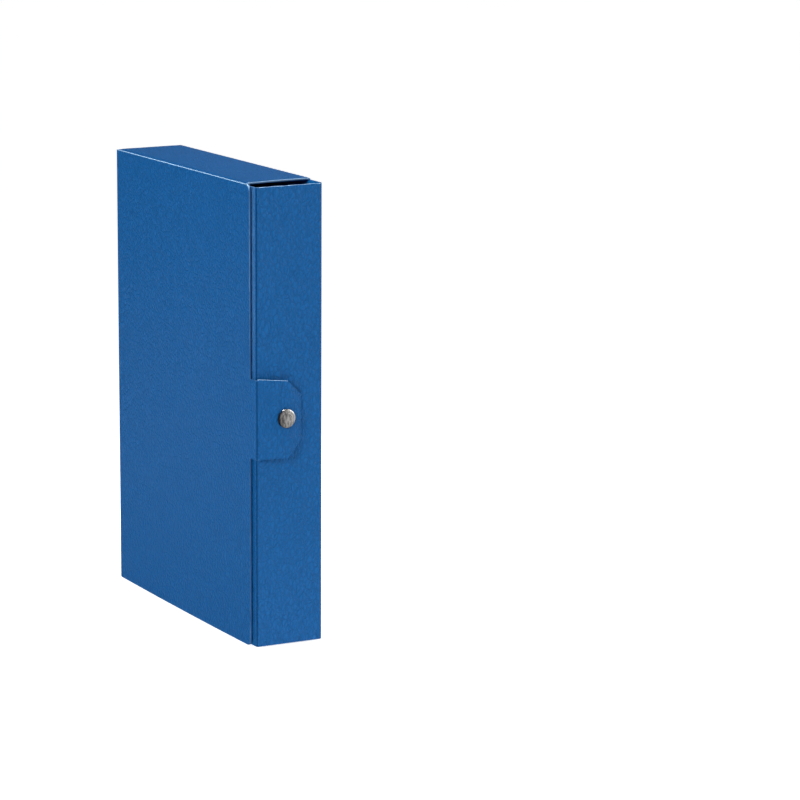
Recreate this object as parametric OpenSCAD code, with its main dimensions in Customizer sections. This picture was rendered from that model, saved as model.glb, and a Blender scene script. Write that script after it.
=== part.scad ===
// Archival document box of grained board, folded up from creased panels.
// Origin: centre of the foot end that the box stands on. +Z runs up its length,
// +X runs from the spine to the fore-edge, and the cover faces -Y.

/* [Box] */
// Length, from the foot end to the head end
box_l = 350; // [320:1:420]
// Depth, from the spine to the fore-edge wall
box_d = 250; // [220:1:320]
// Thickness, from the cover to the back panel
box_w = 57; // [50:1:120]
// Thickness of the board
board_t = 1.5; // [1.3:0.1:1.6]

/* [Cover] */
// How far the cover's free edge stays back from the fore-edge wall
cover_setback = 6.5; // [5:0.5:20]
// Radius of the cover's free corners
cover_corner_r = 5; // [2:1:12]
// How much shorter than the box the cover and the spine are at each end
cover_end_gap = 0.5; // [0.3:0.1:1]
// Room between the cover and the fore-edge flap, for the flat ring caps
cover_gap = 0.8; // [0.7:0.1:2]

/* [Closing tab] */
// Width of the tab along the box
tab_w = 60; // [40:1:90]
// Reach of the tab round onto the fore-edge wall
tab_reach = 37.1; // [34:0.1:44]
// Cut corners of the tab
tab_cut = 12.7; // [4:0.1:14]
// Fillet where the tab leaves the cover
tab_fillet_r = 2.5; // [1:0.5:5]

/* [Walls and flaps] */
// Open slot between an end wall and the fore-edge wall
slot_w = 15; // [8:1:20]
// How much wider the slot is at the back panel than at the cover
slot_slant = 3; // [0:0.5:6]
// Width of the end flaps
end_flap_w = 72; // [60:1:90]
// Slant of the end flaps at the spine side
end_flap_slant = 18; // [0:1:30]
// Width of the fore-edge flap
fore_flap_w = 65; // [60:1:80]
// Radius of the fore-edge flap's free corners
fore_flap_corner_r = 3; // [1:1:10]
// How far the fore-edge wall stops short of each end
fore_wall_inset = 1.8; // [1.6:0.1:4]
// Radius of the fore-edge wall's corners
fore_wall_corner_r = 2; // [1:1:6]

/* [Press studs] */
// Distance between the boards that a press stud joins
stud_gap = 3; // [2.9:0.1:3.4]
// Diameter of the domed cap on the tab
cap_d = 14.5; // [12:0.5:16]
// Height of the domed cap
cap_h = 2.8; // [2.2:0.1:4]
// Diameter of the flat ring caps on the fore-edge flap
ring_cap_d = 12.5; // [11:0.5:15]
// Distance of the tab's press stud from the fold of the tab
tab_stud_reach = 24; // [20:0.1:27]
// Distance of the corner press studs from the fore-edge wall
corner_stud_reach = 48; // [42:1:54]
// Distance of the corner press studs from the box's ends
corner_stud_in = 44; // [30:1:55]

/* [Hidden] */
$fn = 64;

// Each fold is a bead of half the board's thickness, so the board turns on the bead's axis
bead_r = board_t / 2;
// Gap between a bead and the board that folds about it
fold_gap = 0.05;
// Distance from a fold's axis to the edge of the board that folds about it
fold_back = bead_r + fold_gap;
// Gap between a free board edge and the panel beside it
edge_gap = 0.3;

// Middle planes of the panels
spine_x = -box_d / 2 + bead_r;
fore_x = box_d / 2 - bead_r;
back_y = box_w / 2 - bead_r;
cover_y = -box_w / 2 + bead_r;
foot_z = bead_r;
head_z = box_l - bead_r;
tab_x = fore_x + board_t + stud_gap;
fore_flap_y = cover_y + board_t + cover_gap;
end_flap_y = fore_flap_y + board_t + edge_gap;

// Edges
cover_free_x = box_d / 2 - cover_setback;
fore_flap_free_x = box_d / 2 - fore_flap_w;
end_wall_x0 = spine_x + bead_r + edge_gap;
end_wall_x1 = fore_x - bead_r - slot_w;
tab_z = box_l / 2;

// Press stud places
tab_stud_y = cover_y + tab_stud_reach;
corner_stud_x = box_d / 2 - corner_stud_reach;
// The end flaps fold close under the fore-edge flap, and the press studs hold them a little inwards
end_flap_tilt = asin((stud_gap - edge_gap) / (corner_stud_in - bead_r));

// Press stud sizes, all along the stud's own axis from the face that the stud sits on
post_r = 1.2;
post_flange_r = 4.5;
post_clearance = 0.05;
metal_t = 0.5;
stud_top = 1.8;
post_rim_t = 0.2;
socket_r = 5.2;
socket_foot = 0.9;
cap_shank_r = 1.6;
cap_face = stud_gap + board_t;
dome_rim_h = 0.9;
ring_cap_h = 0.5;

board_blue = [0.12, 0.37, 0.62];
nickel = [0.78, 0.78, 0.77];
black_lacquer = [0.06, 0.06, 0.07];

// ---- Outlines -------------------------------------------------------------

// Rectangle between two corners
module rect(low, high) {
    translate(low) square(high - low);
}

// What lies between a square corner and its rounding; inward points into the board
module corner_sliver(at, inward, r) {
    difference() {
        translate(at + inward * r / 2) square(r, center = true);
        translate(at + inward * r) circle(r);
    }
}

// ---- Board ----------------------------------------------------------------

// A flat board in the X-Z plane, with its middle at height y, from an outline in X and Z
module board_facing_y(y) {
    translate([0, y + bead_r, 0]) rotate([90, 0, 0]) linear_extrude(board_t) children();
}

// A flat board in the Y-Z plane, with its middle at x, from an outline in Y and Z
module board_facing_x(x) {
    translate([x - bead_r, 0, 0]) rotate([90, 0, 90]) linear_extrude(board_t) children();
}

// A fold's bead that runs up the box
module upright_bead(x, y, z0, z1) {
    translate([x, y, z0]) cylinder(r = bead_r, h = z1 - z0);
}

// A fold's bead that runs from the spine to the fore-edge
module level_bead(x0, x1, y, z) {
    translate([x0, y, z]) rotate([0, 90, 0]) cylinder(r = bead_r, h = x1 - x0);
}

// Puts a press stud on the fore-edge wall, with its axis along +X
module at_tab_stud() {
    translate([fore_x + bead_r, tab_stud_y, tab_z]) rotate([0, 90, 0]) children();
}

// Puts a press stud's cap and socket on the fore-edge flap, with their axis along -Y
module at_corner_cap(z) {
    translate([corner_stud_x, fore_flap_y + bead_r + stud_gap, z]) rotate([90, 0, 0]) children();
}

// Tilts an end flap about its fold; inward is +1 for the foot end and -1 for the head end
module tucked_in(fold_z, inward) {
    translate([0, end_flap_y, fold_z]) rotate([-inward * end_flap_tilt, 0, 0])
        translate([0, -end_flap_y, -fold_z]) children();
}

// Puts a stud and its post on a tilted end flap, with their axis along the flap's normal
module at_corner_stud(fold_z, inward) {
    stud_z = fold_z + inward * (corner_stud_in - bead_r);
    tucked_in(fold_z, inward)
        translate([corner_stud_x, end_flap_y - bead_r, stud_z]) rotate([90, 0, 0]) children();
}

// Hole for the stud's post through the board under the stud
module post_hole() {
    translate([0, 0, -board_t - 1]) cylinder(r = post_r + post_clearance, h = board_t + 2);
}

// Hole for the cap's shank through the board under the cap
module cap_hole() {
    translate([0, 0, stud_gap - 1]) cylinder(r = cap_shank_r + post_clearance, h = board_t + 2);
}

// ---- Panels ---------------------------------------------------------------

module back_panel() {
    color(board_blue) board_facing_y(back_y)
        rect([spine_x + fold_back, foot_z + fold_back], [fore_x - fold_back, head_z - fold_back]);
}

module spine_panel() {
    color(board_blue) {
        board_facing_x(spine_x)
            rect([cover_y + fold_back, cover_end_gap], [back_y, box_l - cover_end_gap]);
        upright_bead(spine_x, back_y, cover_end_gap, box_l - cover_end_gap);
    }
}

module cover_outline() {
    low = cover_end_gap;
    high = box_l - cover_end_gap;
    difference() {
        rect([spine_x, low], [cover_free_x, high]);
        corner_sliver([cover_free_x, low], [-1, 1], cover_corner_r);
        corner_sliver([cover_free_x, high], [-1, -1], cover_corner_r);
    }
    rect([cover_free_x - 1, tab_z - tab_w / 2], [tab_x - fold_back, tab_z + tab_w / 2]);
    corner_sliver([cover_free_x, tab_z - tab_w / 2], [1, -1], tab_fillet_r);
    corner_sliver([cover_free_x, tab_z + tab_w / 2], [1, 1], tab_fillet_r);
}

module cover_panel() {
    color(board_blue) {
        board_facing_y(cover_y) cover_outline();
        upright_bead(spine_x, cover_y, cover_end_gap, box_l - cover_end_gap);
    }
}

module closing_tab() {
    end_y = cover_y + tab_reach - bead_r;
    half = tab_w / 2;
    color(board_blue) {
        difference() {
            board_facing_x(tab_x) polygon([
                [cover_y, tab_z - half],
                [end_y - tab_cut, tab_z - half],
                [end_y, tab_z - half + tab_cut],
                [end_y, tab_z + half - tab_cut],
                [end_y - tab_cut, tab_z + half],
                [cover_y, tab_z + half],
            ]);
            at_tab_stud() cap_hole();
        }
        upright_bead(tab_x, cover_y, tab_z - half, tab_z + half);
    }
}

module fore_edge_wall() {
    low = fore_wall_inset;
    high = box_l - fore_wall_inset;
    r = fore_wall_corner_r;
    flap_side = fore_flap_y + fold_back;
    color(board_blue) {
        difference() {
            board_facing_x(fore_x) difference() {
                rect([flap_side, low], [back_y, high]);
                corner_sliver([back_y, low], [-1, 1], r);
                corner_sliver([back_y, high], [-1, -1], r);
                corner_sliver([flap_side, low], [1, 1], r);
                corner_sliver([flap_side, high], [1, -1], r);
            }
            at_tab_stud() post_hole();
        }
        upright_bead(fore_x, back_y, low + r, high - r);
    }
}

module fore_edge_flap() {
    low = fore_wall_inset;
    high = box_l - fore_wall_inset;
    r = fore_flap_corner_r;
    color(board_blue) {
        difference() {
            board_facing_y(fore_flap_y) difference() {
                rect([fore_flap_free_x, low], [fore_x, high]);
                corner_sliver([fore_flap_free_x, low], [1, 1], r);
                corner_sliver([fore_flap_free_x, high], [1, -1], r);
                corner_sliver([fore_x, low], [-1, 1], fore_wall_corner_r);
                corner_sliver([fore_x, high], [-1, -1], fore_wall_corner_r);
            }
            at_corner_cap(corner_stud_in) cap_hole();
            at_corner_cap(box_l - corner_stud_in) cap_hole();
        }
        upright_bead(fore_x, fore_flap_y, low + fore_wall_corner_r, high - fore_wall_corner_r);
    }
}

// An end wall folds up from the back panel; z is its middle plane
module end_wall(z) {
    back_x1 = end_wall_x1 - slot_slant;
    color(board_blue) {
        translate([0, 0, z - bead_r]) linear_extrude(board_t) polygon([
            [end_wall_x0, end_flap_y + fold_back],
            [end_wall_x1, end_flap_y + fold_back],
            [back_x1, back_y],
            [end_wall_x0, back_y],
        ]);
        level_bead(end_wall_x0, back_x1, back_y, z);
    }
}

// An end flap folds in from its end wall; inward is +1 for the foot end and -1 for the head end
module end_flap(fold_z, inward) {
    free_z = fold_z + inward * (end_flap_w - bead_r);
    color(board_blue) difference() {
        tucked_in(fold_z, inward) {
            board_facing_y(end_flap_y) polygon([
                [end_wall_x0, fold_z],
                [end_wall_x1, fold_z],
                [end_wall_x1, free_z],
                [end_wall_x0 + end_flap_slant, free_z],
            ]);
            level_bead(end_wall_x0, end_wall_x1, end_flap_y, fold_z);
        }
        at_corner_stud(fold_z, inward) post_hole();
    }
}

module head_end_wall() end_wall(head_z);
module head_end_flap() end_flap(head_z, -1);
module foot_end_wall() end_wall(foot_z);
module foot_end_flap() end_flap(foot_z, 1);

// ---- Press studs, each along +Z from the face that the stud sits on -------

// Stud with a flange on the board and a waisted head
module stud() {
    bore_r = post_r + post_clearance;
    stud_flange_r = 4.6;
    neck_r = 2.2;
    head_r = 2.6;
    color(nickel) rotate_extrude() polygon([
        [bore_r, 0], [stud_flange_r, 0], [stud_flange_r, metal_t], [neck_r, metal_t], [neck_r, 1.1],
        [head_r, 1.4], [head_r, 1.5], [1.9, stud_top], [bore_r, stud_top],
    ]);
}

// Rivet that holds the stud: flange behind the board, shank, and rolled rim over the stud
module stud_post() {
    back = -board_t - metal_t;
    color(nickel) rotate_extrude() polygon([
        [0, back], [post_flange_r, back], [post_flange_r, -board_t], [post_r, -board_t],
        [post_r, stud_top], [1.7, stud_top], [1.5, stud_top + post_rim_t], [0, stud_top + post_rim_t],
    ]);
}

// Socket under the outer board, with a sprung lip at its mouth
module socket(finish) {
    lip_r = 2.5;
    lip_t = 0.2;
    bore_r = 2.9;
    web = stud_gap - metal_t;
    shank_hole_r = cap_shank_r + post_clearance;
    color(finish) rotate_extrude() polygon([
        [lip_r, socket_foot], [socket_r - 0.4, socket_foot], [socket_r, socket_foot + 0.4],
        [socket_r, stud_gap], [shank_hole_r, stud_gap], [shank_hole_r, web],
        [bore_r, web], [bore_r, socket_foot + lip_t], [lip_r, socket_foot + lip_t],
    ]);
}

// Shank that holds a cap: through the outer board and the socket's web, rolled over below it
function shank_profile() = [
    [0, stud_gap - metal_t - 0.2], [2.2, stud_gap - metal_t - 0.2], [2.2, stud_gap - metal_t],
    [cap_shank_r, stud_gap - metal_t], [cap_shank_r, cap_face],
];

// Domed cap, with a shallow ring pressed into its top
module domed_cap() {
    r = cap_d / 2;
    ring_r = 0.56 * r;
    ring_w = 0.5;
    ring_deep = 0.25;
    rise = cap_h - dome_rim_h;
    dome = [for (a = [0 : 7.5 : 90]) [r - 1.2 * rise * (1 - cos(a)), cap_face + dome_rim_h + rise * sin(a)]];
    top = cap_face + cap_h;
    color(nickel) rotate_extrude() polygon(concat(
        shank_profile(),
        [[r - 0.3, cap_face], [r, cap_face + 0.3]],
        dome,
        [[ring_r + ring_w, top], [ring_r + ring_w / 2, top - ring_deep], [ring_r, top], [0, top]]
    ));
}

// Flat black ring cap with a sunk middle
module ring_cap() {
    r = ring_cap_d / 2;
    top = cap_face + ring_cap_h;
    color(black_lacquer) rotate_extrude() polygon(concat(
        shank_profile(),
        [[r - 0.15, cap_face], [r, cap_face + 0.15], [r, top - 0.2], [r - 0.2, top],
         [3, top], [2.7, top - 0.25], [0, top - 0.25]]
    ));
}

module tab_cap() at_tab_stud() domed_cap();
module tab_socket() at_tab_stud() socket(black_lacquer);
module wall_stud() at_tab_stud() stud();
module wall_stud_post() at_tab_stud() stud_post();

module head_ring_cap() at_corner_cap(box_l - corner_stud_in) ring_cap();
module head_socket() at_corner_cap(box_l - corner_stud_in) socket(nickel);
module head_stud() at_corner_stud(head_z, -1) stud();
module head_stud_post() at_corner_stud(head_z, -1) stud_post();

module foot_ring_cap() at_corner_cap(corner_stud_in) ring_cap();
module foot_socket() at_corner_cap(corner_stud_in) socket(nickel);
module foot_stud() at_corner_stud(foot_z, 1) stud();
module foot_stud_post() at_corner_stud(foot_z, 1) stud_post();

back_panel();
spine_panel();
cover_panel();
closing_tab();
fore_edge_wall();
fore_edge_flap();
head_end_wall();
head_end_flap();
foot_end_wall();
foot_end_flap();
tab_cap();
tab_socket();
wall_stud();
wall_stud_post();
head_ring_cap();
head_socket();
head_stud();
head_stud_post();
foot_ring_cap();
foot_socket();
foot_stud();
foot_stud_post();
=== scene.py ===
"""Archival box of blue grained board with press studs, dressed round its CAD frame.

Every panel of the board, every crease where the box hinges and every metal part is a
closed surface worked out with numpy, in the frame that the CAD model gives.
Sizes are in millimetres until a mesh is made.
"""

import logging
import math
from collections.abc import Callable
from dataclasses import dataclass, field
from enum import Enum

import bpy
import numpy as np
from mathutils import Matrix, Vector


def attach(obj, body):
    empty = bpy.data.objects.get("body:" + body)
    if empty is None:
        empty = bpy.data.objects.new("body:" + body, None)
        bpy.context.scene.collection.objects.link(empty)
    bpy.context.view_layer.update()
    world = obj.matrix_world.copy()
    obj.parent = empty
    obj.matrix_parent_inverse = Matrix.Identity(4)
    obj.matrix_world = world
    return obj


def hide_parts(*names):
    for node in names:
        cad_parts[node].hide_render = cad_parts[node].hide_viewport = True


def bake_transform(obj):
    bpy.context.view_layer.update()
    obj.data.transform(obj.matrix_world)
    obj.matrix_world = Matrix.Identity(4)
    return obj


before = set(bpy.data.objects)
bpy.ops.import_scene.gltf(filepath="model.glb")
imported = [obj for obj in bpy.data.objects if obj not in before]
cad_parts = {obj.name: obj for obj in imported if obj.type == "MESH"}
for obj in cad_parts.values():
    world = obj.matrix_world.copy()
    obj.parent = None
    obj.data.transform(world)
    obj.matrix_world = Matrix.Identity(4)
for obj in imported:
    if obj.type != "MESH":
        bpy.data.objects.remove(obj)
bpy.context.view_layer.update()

MM = 0.001
REST_PLACE = "rest_place"
WEAR_AND_PAINTED_LIGHT = "wear_and_painted_light"
# How far a cut edge grows past the last grid line, and the least distance that counts, in mm.
TRIM = 0.25
TINY = 1e-6
# Spacing of a large panel's grid lines, and of the line that keeps its edge crisp, in mm.
GRID = 7.0
HEM = 0.6
log = logging.getLogger("archival_box")

Array = np.ndarray
Placement = Callable[[Array, Array, Array], Array]
Tone = Callable[[Array, Array], Array]


class Body(Enum):
    """The moving parts of the box."""

    BOX = "box_body"
    SPINE = "spine"
    COVER = "cover"
    TAB = "tab"


class Stuff(Enum):
    """The record's material slots."""

    BOARD = "board"
    NICKEL = "nickel"
    LACQUER = "black_lacquer"


class Facing(Enum):
    """The finish number of each part of a board panel's skin."""

    OUTER = 0
    INNER = 1
    CORE = 2


# ---------------------------------------------------------------- finishes


class NodeBench:
    """A material's node tree, with short calls to add and join nodes."""

    def __init__(self, name: str) -> None:
        """Starts an empty material.

        Args:
            name: The material's name.
        """
        self.material = bpy.data.materials.new(name)
        self.material.use_nodes = True
        self.tree = self.material.node_tree
        self.tree.nodes.clear()
        self.shader = self.add("ShaderNodeBsdfPrincipled")
        output = self.add("ShaderNodeOutputMaterial")
        self.join(self.shader, "BSDF", output, "Surface")

    def add(self, kind: str, **settings: object) -> bpy.types.Node:
        """Adds a node and sets its properties.

        Args:
            kind: The node's type name.
            **settings: Properties of the node, by name.

        Returns:
            The new node.
        """
        node = self.tree.nodes.new(kind)
        for key, value in settings.items():
            setattr(node, key, value)
        return node

    def join(
        self, source: bpy.types.Node, out: str | int, target: bpy.types.Node, into: str | int
    ) -> None:
        """Links an output of one node to an input of another.

        Args:
            source: The node the value comes from.
            out: Its output, by name or number.
            target: The node the value goes to.
            into: Its input, by name or number.
        """
        self.tree.links.new(source.outputs[out], target.inputs[into])

    def set(self, **values: object) -> None:
        """Sets inputs of the shader, an underscore standing for a space.

        Args:
            **values: The inputs' values, by name.
        """
        for key, value in values.items():
            self.shader.inputs[key.replace("_", " ")].default_value = value

    def place(self, attribute: str | None, scale: tuple[float, float, float]) -> bpy.types.Node:
        """Adds the coordinates that a pattern reads.

        Args:
            attribute: A point attribute's name, or None for Object coordinates.
            scale: How much each axis is scaled.

        Returns:
            A Mapping node whose output 0 is the scaled place.
        """
        mapping = self.add("ShaderNodeMapping")
        mapping.inputs["Scale"].default_value = scale
        if attribute:
            source = self.add("ShaderNodeAttribute", attribute_name=attribute)
            self.join(source, "Vector", mapping, "Vector")
        else:
            source = self.add("ShaderNodeTexCoord")
            self.join(source, "Object", mapping, "Vector")
        return mapping

    def noise(
        self, place: bpy.types.Node, scale: float, detail: float, rough: float = 0.5, bend: float = 0.0
    ) -> bpy.types.Node:
        """Adds a noise pattern.

        Args:
            place: The node that gives the place.
            scale: Waves per metre.
            detail: Number of finer layers.
            rough: Strength of each finer layer.
            bend: How far the pattern is distorted.

        Returns:
            The Noise node.
        """
        node = self.add("ShaderNodeTexNoise")
        inputs = {"Scale": scale, "Detail": detail, "Roughness": rough, "Distortion": bend}
        for key, value in inputs.items():
            node.inputs[key].default_value = value
        self.join(place, 0, node, "Vector")
        return node

    def ramp(
        self, source: bpy.types.Node, out: str | int, stops: list[tuple[float, tuple[float, ...]]]
    ) -> bpy.types.Node:
        """Adds a colour ramp.

        Args:
            source: The node whose output the ramp reads.
            out: That output.
            stops: Positions and RGBA colours.

        Returns:
            The ramp node.
        """
        node = self.add("ShaderNodeValToRGB")
        bar = node.color_ramp
        while len(bar.elements) < len(stops):
            bar.elements.new(0.5)
        for element, (position, colour) in zip(bar.elements, stops):
            element.position, element.color = position, colour
        self.join(source, out, node, "Fac")
        return node

    def mix(self, share: bpy.types.Node, out: str | int, a: object, b: object) -> bpy.types.Node:
        """Adds a colour mix.

        Args:
            share: The node that gives the share of b.
            out: Its output.
            a: An RGBA colour, or a (node, output) pair.
            b: An RGBA colour, or a (node, output) pair.

        Returns:
            The Mix node, whose output 2 is the colour.
        """
        node = self.add("ShaderNodeMix", data_type="RGBA")
        self.join(share, out, node, 0)
        for number, value in ((6, a), (7, b)):
            if isinstance(value[0], bpy.types.Node):
                self.join(value[0], value[1], node, number)
            else:
                node.inputs[number].default_value = value
        return node

    def scaled(self, source: bpy.types.Node, out: str | int, factor: float, plus: float) -> bpy.types.Node:
        """Adds factor times a value, plus an offset.

        Args:
            source: The node whose output is read.
            out: That output.
            factor: The factor.
            plus: The offset.

        Returns:
            The Math node.
        """
        node = self.add("ShaderNodeMath", operation="MULTIPLY_ADD")
        self.join(source, out, node, 0)
        node.inputs[1].default_value, node.inputs[2].default_value = factor, plus
        return node

    def bump(self, layers: list[tuple[bpy.types.Node, str | int, float]]) -> None:
        """Adds bump layers to the shader, one over the other.

        Args:
            layers: Each a node, its output and its height in metres.
        """
        before = None
        for source, out, height in layers:
            node = self.add("ShaderNodeBump")
            node.inputs["Distance"].default_value = height
            self.join(source, out, node, "Height")
            if before is not None:
                self.join(before, "Normal", node, "Normal")
            before = node
        self.join(before, "Normal", self.shader, "Normal")


def grey(level: float) -> tuple[float, float, float, float]:
    """Returns an RGBA grey of that level."""
    return (level, level, level, 1.0)


@dataclass(frozen=True)
class GrainedBoard:
    """The outer face: blue film embossed with a fine leather grain.

    The point attribute is 1 where an edge is painted pale, partly as worn board and partly as
    painted highlight, and -1 down in a score line, painted dark as shade.
    """

    name: str = "board_grained_blue"
    deep: tuple[float, ...] = (0.0032, 0.070, 0.222, 1.0)
    pale: tuple[float, ...] = (0.0080, 0.105, 0.315, 1.0)
    # Pale rim colour: worn edges, and painted highlight on edges that face the light.
    pale_worn_and_lit: tuple[float, ...] = (0.42, 0.66, 0.92, 1.0)
    # Painted shade: the dark colour of score lines and creases.
    painted_score_shade: tuple[float, ...] = (0.0010, 0.026, 0.088, 1.0)
    roughness: float = 0.40
    specular: float = 0.10
    grain: float = 0.00042

    def material(self) -> bpy.types.Material:
        """Makes the material: cells of leather grain, flecks between them and soft mottling.

        The grain is stronger in some patches than in others, and is drawn out
        a little along the height, the way the board was rolled.

        Returns:
            The material.
        """
        bench = NodeBench(self.name)
        place = bench.place(REST_PLACE, (1.0, 1.0, 1.0))
        rolled_place = bench.place(REST_PLACE, (1.0, 1.0, 0.55))
        warp = bench.noise(rolled_place, 150.0, 2.0)
        bent = bench.add("ShaderNodeVectorMath", operation="MULTIPLY_ADD")
        bench.join(warp, "Color", bent, 0)
        bench.join(rolled_place, 0, bent, 2)
        bent.inputs[1].default_value = (0.0045, 0.0045, 0.0045)
        cells = bench.add("ShaderNodeTexVoronoi", feature="DISTANCE_TO_EDGE")
        cells.inputs["Scale"].default_value = 400.0
        bench.join(bent, 0, cells, "Vector")
        creases = bench.ramp(cells, "Distance", [(0.0, grey(0.0)), (0.20, grey(0.8)), (0.5, grey(1.0))])
        fleck = bench.noise(bent, 430.0, 4.0, 0.75)
        mottle = bench.noise(place, 26.0, 4.0, 0.6, 0.6)
        broad = bench.noise(place, 11.0, 3.0, 0.6)
        patches = bench.ramp(broad, "Fac", [(0.38, grey(0.25)), (0.62, grey(1.0))])
        flecks = bench.ramp(fleck, "Fac", [(0.30, grey(0.05)), (0.70, grey(0.95))])
        even = bench.mix(mottle, "Fac", grey(0.30), grey(0.70))
        tone = bench.mix(patches, "Color", (even, 2), (flecks, "Color"))
        colour = bench.mix(tone, 2, self.deep, self.pale)
        dips = bench.scaled(creases, "Color", -0.35, 0.35)
        shade = tuple(0.5 * c for c in self.deep[:3]) + (1.0,)
        darker = bench.mix(dips, 0, (colour, 2), shade)
        # Above 0 the attribute paints the rims pale: worn edges and painted highlight.
        wear_and_painted_light = bench.add("ShaderNodeAttribute", attribute_name=WEAR_AND_PAINTED_LIGHT)
        speckle = bench.ramp(fleck, "Fac", [(0.30, grey(0.45)), (0.65, grey(1.0))])
        worn_and_lit_share = bench.add("ShaderNodeMath", operation="MULTIPLY", use_clamp=True)
        bench.join(wear_and_painted_light, "Fac", worn_and_lit_share, 0)
        bench.join(speckle, "Color", worn_and_lit_share, 1)
        pale = bench.mix(worn_and_lit_share, 0, (darker, 2), self.pale_worn_and_lit)
        # Below 0 it paints score lines and creases dark: painted shade.
        groove = bench.add("ShaderNodeMath", operation="MULTIPLY", use_clamp=True)
        bench.join(wear_and_painted_light, "Fac", groove, 0)
        groove.inputs[1].default_value = -1.0
        final = bench.mix(groove, 0, (pale, 2), self.painted_score_shade)
        bench.join(final, 2, bench.shader, "Base Color")
        rough = bench.scaled(broad, "Fac", 0.10, self.roughness - 0.05)
        bench.join(rough, 0, bench.shader, "Roughness")
        bench.set(Specular_IOR_Level=self.specular)
        bench.bump([(creases, "Color", self.grain), (fleck, "Fac", self.grain), (mottle, "Fac", 0.0004)])
        return bench.material


@dataclass(frozen=True)
class SmoothBoard:
    """The inner face: the same blue, printed and smooth, with paper fibre."""

    name: str = "board_smooth_blue"
    deep: tuple[float, ...] = (0.0035, 0.108, 0.350, 1.0)
    pale: tuple[float, ...] = (0.0060, 0.125, 0.385, 1.0)

    def material(self) -> bpy.types.Material:
        """Makes the material: fine paper fibre with a slight cloudiness.

        Returns:
            The material.
        """
        bench = NodeBench(self.name)
        place = bench.place(REST_PLACE, (1.0, 1.0, 0.35))
        fibre = bench.noise(place, 1500.0, 4.0, 0.65, 0.4)
        cloud = bench.noise(place, 40.0, 5.0, 0.6)
        colour = bench.mix(cloud, "Fac", self.deep, self.pale)
        bench.join(colour, 2, bench.shader, "Base Color")
        rough = bench.scaled(fibre, "Fac", 0.12, 0.50)
        bench.join(rough, 0, bench.shader, "Roughness")
        bench.set(Specular_IOR_Level=0.35)
        bench.bump([(fibre, "Fac", 0.00003), (cloud, "Fac", 0.0004)])
        return bench.material


@dataclass(frozen=True)
class CutCore:
    """The cut edge: grey-brown core in layers, stained blue."""

    name: str = "board_cut_core"
    deep: tuple[float, ...] = (0.016, 0.074, 0.192, 1.0)
    pale: tuple[float, ...] = (0.052, 0.108, 0.222, 1.0)
    stained: tuple[float, ...] = (0.008, 0.080, 0.230, 1.0)
    # Pale colour of worn cut edges, and painted highlight on cut edges that face the light.
    pale_worn_and_lit: tuple[float, ...] = (0.42, 0.66, 0.90, 1.0)

    def material(self) -> bpy.types.Material:
        """Makes the material: fibre noise between core grey and blue stain, paler where worn and where a
        highlight is painted.

        Returns:
            The material.
        """
        bench = NodeBench(self.name)
        place = bench.place(REST_PLACE, (1.0, 1.0, 1.0))
        fibre = bench.noise(place, 2600.0, 4.0, 0.7, 0.8)
        stain = bench.noise(place, 300.0, 3.0, 0.6)
        core = bench.mix(fibre, "Fac", self.deep, self.pale)
        share = bench.ramp(stain, "Fac", [(0.45, grey(0.0)), (0.7, grey(0.6))])
        colour = bench.mix(share, "Color", (core, 2), self.stained)
        # The attribute paints the cut pale: worn edges and painted highlight.
        wear_and_painted_light = bench.add("ShaderNodeAttribute", attribute_name=WEAR_AND_PAINTED_LIGHT)
        worn_and_lit_share = bench.ramp(wear_and_painted_light, "Fac", [(0.45, grey(0.0)), (0.8, grey(1.0))])
        final = bench.mix(worn_and_lit_share, "Color", (colour, 2), self.pale_worn_and_lit)
        bench.join(final, 2, bench.shader, "Base Color")
        rough = bench.scaled(fibre, "Fac", 0.15, 0.72)
        bench.join(rough, 0, bench.shader, "Roughness")
        bench.set(Specular_IOR_Level=0.2)
        bench.bump([(fibre, "Fac", 0.00008)])
        return bench.material


@dataclass(frozen=True)
class PolishedNickel:
    """Nickel plate, polished, with faint handling marks."""

    name: str = "nickel_plate"
    dull: tuple[float, ...] = (0.14, 0.135, 0.13, 1.0)
    bright: tuple[float, ...] = (0.50, 0.485, 0.48, 1.0)

    def material(self) -> bpy.types.Material:
        """Makes the material: grey metal, dulled in patches, with uneven gloss.

        Returns:
            The material.
        """
        bench = NodeBench(self.name)
        streaks = bench.place(None, (1.0, 1.0, 0.35))
        marks = bench.noise(streaks, 900.0, 5.0, 0.7, 1.5)
        haze = bench.noise(streaks, 600.0, 4.0, 0.65)
        shades = bench.ramp(haze, "Fac", [(0.32, self.dull), (0.62, self.bright)])
        bench.join(shades, "Color", bench.shader, "Base Color")
        rough = bench.scaled(marks, "Fac", 0.22, 0.10)
        bench.join(rough, 0, bench.shader, "Roughness")
        bench.set(Metallic=1.0)
        bench.bump([(marks, "Fac", 0.00001)])
        return bench.material


@dataclass(frozen=True)
class BlackLacquer:
    """Black baked lacquer on pressed steel."""

    name: str = "lacquer_black"
    deep: tuple[float, ...] = (0.006, 0.006, 0.008, 1.0)
    pale: tuple[float, ...] = (0.022, 0.022, 0.026, 1.0)

    def material(self) -> bpy.types.Material:
        """Makes the material: near black with a fine orange-peel surface.

        Returns:
            The material.
        """
        bench = NodeBench(self.name)
        place = bench.place(None, (1.0, 1.0, 1.0))
        peel = bench.noise(place, 1400.0, 2.0)
        dust = bench.noise(place, 500.0, 5.0, 0.7)
        colour = bench.mix(dust, "Fac", self.deep, self.pale)
        bench.join(colour, 2, bench.shader, "Base Color")
        rough = bench.scaled(dust, "Fac", 0.18, 0.16)
        bench.join(rough, 0, bench.shader, "Roughness")
        bench.set(Coat_Weight=0.3, Coat_Roughness=0.12)
        bench.bump([(peel, "Fac", 0.00003)])
        return bench.material


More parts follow.
